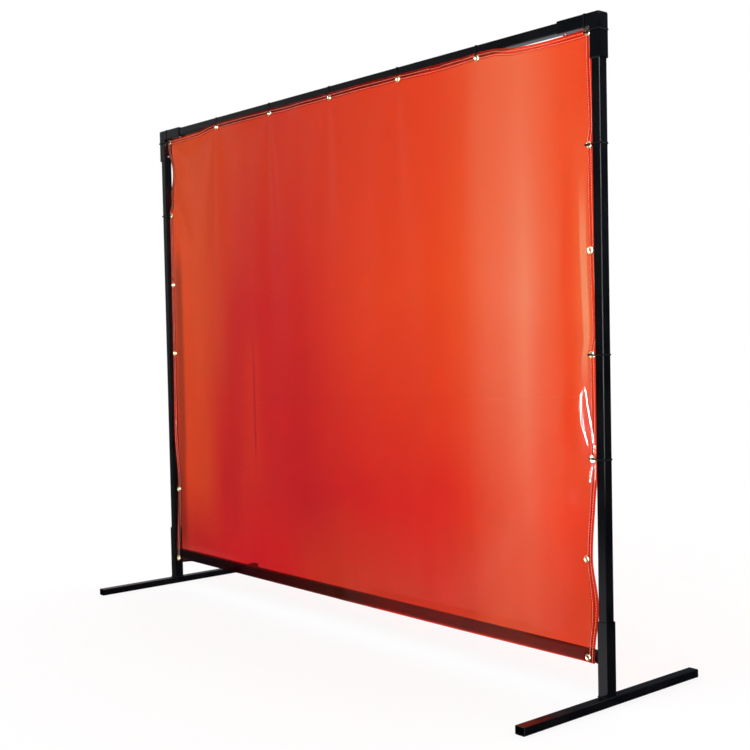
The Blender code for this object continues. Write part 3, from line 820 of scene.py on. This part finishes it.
def hem_strip(sheet, name, kind, depths, thickness, behind, material):
    """A strip of film along an edge, over these depths in from it and this far behind the sheet's front."""
    _, place = edge_paths()[name]
    runs = sheet.across + HALF_WIDTH if name in ("top", "bottom") else sheet.up
    points, normals = sheet.at(*place(*np.meshgrid(runs, depths)))
    if name in ("top", "right"):
        points, normals = points[::-1], normals[::-1]
    mesh = closed_sheet(f"curtain_hem_{kind}{name}", points, normals, thickness, behind)
    return new_piece(mesh.name, mesh, material)


def make_hem_lines(sheet, material):
    """The dark lines of the hems, painted shade: at the cut end inside and between the stitch rows."""
    half, behind = 0.0006, 3 * VINYL + 0.0007
    return [
        hem_strip(sheet, name, f"{kind}_", np.linspace(depth - half, depth + half, 3), 0.0003, behind, material)
        for name in ("top", "left", "right")
        for kind, depth in (("end", HEM_WIDTH[name] - half), ("groove", sum(STITCH_ROWS) / 2))
    ]


def make_hems(sheet, material):
    """The film folded back behind each edge. The side hems are folded over the top and bottom ones."""
    pieces = []
    for name, width in HEM_WIDTH.items():
        layer = 1 if name in ("top", "bottom") else 2
        behind = layer * VINYL + layer * 0.0002
        pieces.append(hem_strip(sheet, name, "", np.linspace(0.0, width, 9), VINYL, behind, material))
    return pieces


# One stitch, in shares of its half length, half width and height.
STITCH = np.array([
    (-1, 0, 0), (-0.6, 1, 0.2), (-0.6, 0, 1), (-0.6, -1, 0.2), (0.6, 1, 0.2), (0.6, 0, 1), (0.6, -1, 0.2),
    (1, 0, 0), (-0.6, 0, -0.3), (0.6, 0, -0.3),
])
STITCH_FACES = [
    (0, 2, 1), (0, 3, 2), (0, 8, 3), (0, 1, 8), (1, 2, 5, 4), (2, 3, 6, 5), (3, 8, 9, 6), (8, 1, 4, 9),
    (7, 4, 5), (7, 5, 6), (7, 6, 9), (7, 9, 4),
]


def make_stitches(sheet, material):
    """Two rows of stitches along the top and side hems, front and back, as one mesh. The bottom is welded."""
    pitch, size = 0.0078, np.array((0.0034, 0.0008, 0.0006))
    verts, faces = [], []
    for name, (length, place) in edge_paths().items():
        if name == "bottom":
            continue
        for row, depth in enumerate(STITCH_ROWS):
            runs = np.arange(0.006 + row * pitch / 2, length - 0.006, pitch)
            points, normals = sheet.at(*place(runs, np.full_like(runs, depth)))
            ahead = sheet.at(*place(runs + 0.002, np.full_like(runs, depth)))[0] - points
            ahead /= np.linalg.norm(ahead, axis=1, keepdims=True)
            beside = np.cross(normals, ahead)
            for facing, behind in ((1, 0.0), (-1, 3 * VINYL + 0.0004)):
                local = STITCH * size
                base = points - normals * behind
                placed = (
                    base[:, None] + local[None, :, :1] * ahead[:, None] + local[None, :, 1:2] * beside[:, None]
                    + facing * local[None, :, 2:] * normals[:, None]
                )
                start = len(verts)
                verts += list(placed.reshape(-1, 3))
                faces += [
                    tuple(start + stitch * len(STITCH) + k for k in face[::facing])
                    for stitch in range(len(runs)) for face in STITCH_FACES
                ]
    return new_piece("curtain_stitching", mesh_from("curtain_stitching", verts, faces), material)


def make_curtain():
    """Gives back the sheet's grid, its piece, and the hems, hem lines and stitches on it."""
    film = vinyl("tinted_vinyl")
    sheet = make_sheet()
    mesh = cut_holes(closed_sheet("curtain_sheet", sheet.points, sheet.normals, VINYL))
    piece = new_piece("curtain_sheet", mesh, film, smooth_angle=60)
    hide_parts("curtain")
    hems = make_hems(sheet, vinyl("clear_hem_vinyl", depth=0.35))
    # Painted shade: a darker vinyl for the dark lines along the hems.
    hems += make_hem_lines(sheet, vinyl("folded_vinyl", depth=2.5))
    stitches = make_stitches(sheet, thread())
    return sheet, piece, hems + [stitches]


def make_grommets(sheet):
    """Eyelets: a domed front flange on a barrel, rolled over a thin washer behind."""
    material = brass()
    near, back = 0.0003, -4 * VINYL
    profile = [
        (0.0080 + 0.0026 * math.cos(a), near + 0.0019 * math.sin(a)) for a in np.linspace(0, math.pi, 11)
    ]
    profile += [(0.0048, near + 0.0002), (0.0044, near - 0.0006), (0.0044, back - 0.0004)]
    profile += [(0.0052, back - 0.0011), (0.0064, back - 0.0010), (0.0072, back - 0.0004)]
    profile += [(0.0102, back - 0.0006), (0.0106, back), (0.0052, back), (0.0052, near)]
    mesh = turned("eyelet", profile)
    mesh.materials.append(material)
    mesh.shade_smooth()
    pieces = []
    for name, place in GROMMETS.items():
        up = np.array([place.z - BOTTOM_Z])
        _, normal = sheet.at(np.array([np.clip(place.x, -HALF_WIDTH + 0.015, HALF_WIDTH - 0.015)]), up)
        piece = new_object(name.replace("grommet", "eyelet"), mesh)
        turn = Vector(normal[0]).to_track_quat("Z", "Y").to_matrix().to_4x4()
        piece.matrix_world = Matrix.Translation(place) @ turn
        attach(piece, BODY)
        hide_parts(name)
        pieces.append(piece)
    return pieces


# ---- ties, buttons and welds ----
def rounded_path(corners, bend, spacing):
    """An even closed path in a plane round these corners, with rounded bends."""
    points = []
    for before, here, after in zip(corners[-1:] + corners[:-1], corners, corners[1:] + corners[:1]):
        before, here, after = np.array(before), np.array(here), np.array(after)
        back, forth = before - here, after - here
        reach = min(bend, 0.45 * np.linalg.norm(back), 0.45 * np.linalg.norm(forth))
        start, end = here + back / np.linalg.norm(back) * reach, here + forth / np.linalg.norm(forth) * reach
        for t in np.linspace(0.0, 1.0, 7):
            points.append((1 - t) ** 2 * start + 2 * t * (1 - t) * here + t**2 * end)
    points = np.array(points + points[:1])
    gaps = np.concatenate(([0.0], np.cumsum(np.hypot(*(points[1:] - points[:-1]).T))))
    places = np.linspace(0.0, gaps[-1], max(12, round(gaps[-1] / spacing)), endpoint=False)
    return np.stack([np.interp(places, gaps, points[:, axis]) for axis in (0, 1)], axis=1)


TIE_HEAD = (0.0080, 0.0060, 0.0042)


def make_tie(name, corners, head, head_turn, to_space, width=0.0046):
    """A cable tie: a ridged strap round these corners of a plane and a bevelled head with its cut tail."""
    path = rounded_path(corners, 0.0035, 0.0007)
    ahead = np.roll(path, -1, axis=0) - np.roll(path, 1, axis=0)
    ahead /= np.linalg.norm(ahead, axis=1, keepdims=True)
    outward = np.stack((ahead[:, 1], -ahead[:, 0]), axis=1)
    if np.mean(np.sum(outward * (path - path.mean(axis=0)), axis=1)) < 0:
        outward = -outward
    half = width / 2

    def section(index, point):
        tooth = 0.00018 * (index % 2)
        ring = (
            (0.0006, -half + 0.0004), (0.0006, half - 0.0004), (0.0002, half), (-0.0004, half),
            (-0.0006 - tooth, half - 0.0008), (-0.0006 - tooth, -half + 0.0008),
            (-0.0004, -half), (0.0002, -half),
        )
        return [(*(point + outward[index] * a), b) for a, b in ring]

    verts, faces = sweep(path, section)
    work = bmesh.new()
    strap = mesh_from(f"{name}_strap", [to_space(Vector(v)) for v in verts], faces)
    work.from_mesh(strap)
    bpy.data.meshes.remove(strap)
    turn = Matrix.Rotation(head_turn, 4, "Z")
    for centre, size, bevel in (
        ((0, 0), TIE_HEAD, 0.0009), ((-TIE_HEAD[0] * 0.62, 0.0004), (0.0036, 0.0012, width * 0.9), 0.0003),
    ):
        made = bmesh.ops.create_cube(work, size=1.0)["verts"]
        shape = turn @ Matrix.Translation((*centre, 0.0)) @ Matrix.Diagonal((size[0], size[2], size[1], 1.0))
        bmesh.ops.transform(work, matrix=shape, verts=made)
        edges = list({edge for vert in made for edge in vert.link_edges})
        result = bmesh.ops.bevel(work, geom=edges, offset=bevel, segments=3, affect="EDGES", profile=0.5)
        block = {vert for face in result["faces"] for vert in face.verts} | {v for v in made if v.is_valid}
        for vert in block:
            vert.co = to_space(Vector((head[0], head[1], 0.0)) + vert.co)
    bmesh.ops.recalc_face_normals(work, faces=work.faces)
    mesh = bpy.data.meshes.new(name)
    work.to_mesh(mesh)
    work.free()
    return mesh


def make_ties(material):
    """Every tie, round the rail, an elbow's arm or an upright, on the place of its CAD node."""
    pieces = []
    for name in nodes_named("tie_"):
        low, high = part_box(name)
        side = -1 if "left" in name else 1
        if name.startswith("tie_top"):
            eyelet = GROMMETS[name.replace("tie", "grommet")]
            hole = eyelet.z + 0.0016
            front, rear, top = low.y + 0.0008, high.y - 0.0016, high.z - 0.0008
            at_corner = name in ("tie_top_1", "tie_top_7")
            lean = 0.0 if at_corner else 0.010 / (top - hole)
            front_top = low.y + 0.0008 if at_corner else RAIL_LOW.y - 0.0012
            corners = [
                (eyelet.y - 0.0052, hole), (front_top, top), (rear, top), (rear, RAIL_LOW.z - 0.0012),
                (eyelet.y + 0.0042, hole),
            ]
            if at_corner:
                corners.insert(1, (front_top, RAIL_LOW.z - 0.0035))

            def to_space(v, x=eyelet.x, lean=lean, hole=hole):
                return Vector((x - lean * (v.y - hole) + v.z, v.x, v.y))

            mesh = make_tie(
                name, corners, (rear + 0.0024, RAIL_HIGH.z - 0.008), math.radians(-90), to_space, width=0.0040
            )
        else:
            at_corner = name.endswith("corner")
            corner = "grommet_top_1" if side < 0 else "grommet_top_7"
            eyelet = GROMMETS[corner if at_corner else name.replace("tie", "grommet")]
            level = (low.z + high.z) / 2
            outer = low.x if side < 0 else high.x
            post_low, post_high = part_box("upright_left" if side < 0 else "upright_right")
            inner = post_high.x + 0.002 if side < 0 else post_low.x - 0.002
            if at_corner:
                inner += -side * 0.003
            front, rear = low.y + 0.0008, high.y - 0.0008
            hole = eyelet.x + side * 0.0026
            corners = [
                (hole - side * 0.007, eyelet.y - 0.0040), (inner, front), (outer - side * 0.0008, front),
                (outer - side * 0.0008, rear), (inner, rear), (hole, eyelet.y + 0.0046),
                (hole - side * 0.001, eyelet.y - 0.0005),
            ]

            def to_space(v, level=level):
                return Vector((v.x, v.y, level + v.z))

            mesh = make_tie(
                name, corners, (hole - side * 0.0085, eyelet.y - 0.0050), math.radians(0 if side > 0 else 180),
                to_space,
            )
        piece = new_piece(name.replace("tie", "cable_tie"), mesh, material, smooth_angle=35)
        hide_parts(name)
        pieces.append(piece)
    return pieces


def button_axis(name):
    """The way out of its sleeve: down under the rail's ends, and inwards on the uprights."""
    return Vector((0, 0, -1)) if name.endswith("top") else Vector((1 if "left" in name else -1, 0, 0))


def make_buttons(material):
    """Snap buttons: a domed pin on a flange."""
    dome, chamfer, plate = 0.0028, 0.0002, 0.001
    for name in nodes_named("snap_button"):
        low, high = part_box(name)
        out = button_axis(name)
        length, flange = abs((high - low).dot(out)), (high.y - low.y) / 2
        pin = 0.714 * flange
        profile = [
            (0.0, 0.0), (flange - chamfer, 0.0), (flange, chamfer), (flange, plate - chamfer),
            (flange - chamfer, plate), (pin + chamfer, plate), (pin, plate + chamfer),
        ]
        profile += [
            (pin * math.cos(a), length - dome + dome * math.sin(a)) for a in np.linspace(0, math.pi / 2, 9)[:-1]
        ] + [(0.0, length)]
        mesh = turned(name.replace("snap_button", "button"), profile)
        turn = out.to_track_quat("Z", "Y").to_matrix().to_4x4()
        mesh.transform(Matrix.Translation((low + high) / 2 - out * (length / 2)) @ turn)
        piece = new_piece(
            name.replace("snap_button", "button_dome"), mesh, material, body=name.replace("snap_", ""),
            smooth_angle=60,
        )
        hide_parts(name)


def make_springs(material):
    """The V of spring strip inside each tube end."""
    for name in nodes_named("snap_spring"):
        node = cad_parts[name]
        mesh = node.data.copy()
        mesh.transform(node.matrix_world)
        piece = new_piece(name.replace("snap_spring", "spring_strip"), mesh, material)
        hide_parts(name)
        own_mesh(piece)


def weld_loop(name, corners, bend, place, radius=0.0024):
    """A weld bead round a joint: a rippled fillet along a closed path."""
    path = rounded_path(corners, bend, 0.0008)
    away = path - path.mean(axis=0)
    away /= np.linalg.norm(away, axis=1, keepdims=True)

    def section(index, point):
        ripple = radius * (1 + 0.13 * math.sin(index * 1.05) + 0.05 * math.sin(index * 0.37))
        return [
            (*(point + away[index] * ripple * math.cos(a)), ripple * math.sin(a))
            for a in np.linspace(0, 2 * math.pi, 10, endpoint=False)
        ]

    verts, faces = sweep(path, section)
    return mesh_from(name, [place(Vector(v)) for v in verts], faces)


def rectangle(left, bottom, right, top):
    return [(left, bottom), (right, bottom), (right, top), (left, top)]


def make_welds(material):
    """Beads where each socket stands on its foot and where the lower rail meets each socket."""
    pieces = []
    for side in ("left", "right"):
        low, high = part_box(f"socket_{side}")
        top_of_foot = low.z + 0.0006
        face = high.x if side == "left" else low.x
        for joint, corners, place in (
            ("foot", rectangle(low.x, low.y, high.x, high.y), lambda v: Vector((v.x, v.y, top_of_foot + v.z))),
            (
                "rail", rectangle(LOWER_LOW.y, LOWER_LOW.z, LOWER_HIGH.y, LOWER_HIGH.z),
                lambda v: Vector((face + v.z, v.x, v.y)),
            ),
        ):
            mesh = weld_loop(f"weld_{joint}_{side}", corners, 0.004, place)
            pieces.append(new_piece(mesh.name, mesh, material, "base", 80))
    return pieces


BLACK_NODES = ("foot", "socket", "upright", "elbow", "top_rail", "lower_rail", "rail_spigot")


def finish_frame():
    """Finishes the steel. Gives back every black piece."""
    coat = powder_coat()
    for name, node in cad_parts.items():
        for slot in node.material_slots:
            slot.material = coat
    make_springs(bright_steel("spring_strip", 0.25, 0.45, (0.36, 0.37, 0.40)))
    make_buttons(bright_steel("button_plate", 0.10, 0.22, (0.84, 0.86, 0.92), 0.6))
    black = make_welds(coat) + make_ties(nylon())
    return black + [node for name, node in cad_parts.items() if name.startswith(BLACK_NODES)]


bpy.context.scene.view_settings.view_transform = "Standard"
place_camera()
strip_light, edge_light = light_scene()
floor = lay_floor()
black = finish_frame()
keep_off(strip_light, [floor] + black)
sheet, curtain, trimmings = make_curtain()
keep_off(edge_light, [floor, curtain] + trimmings)
eyelets = make_grommets(sheet)
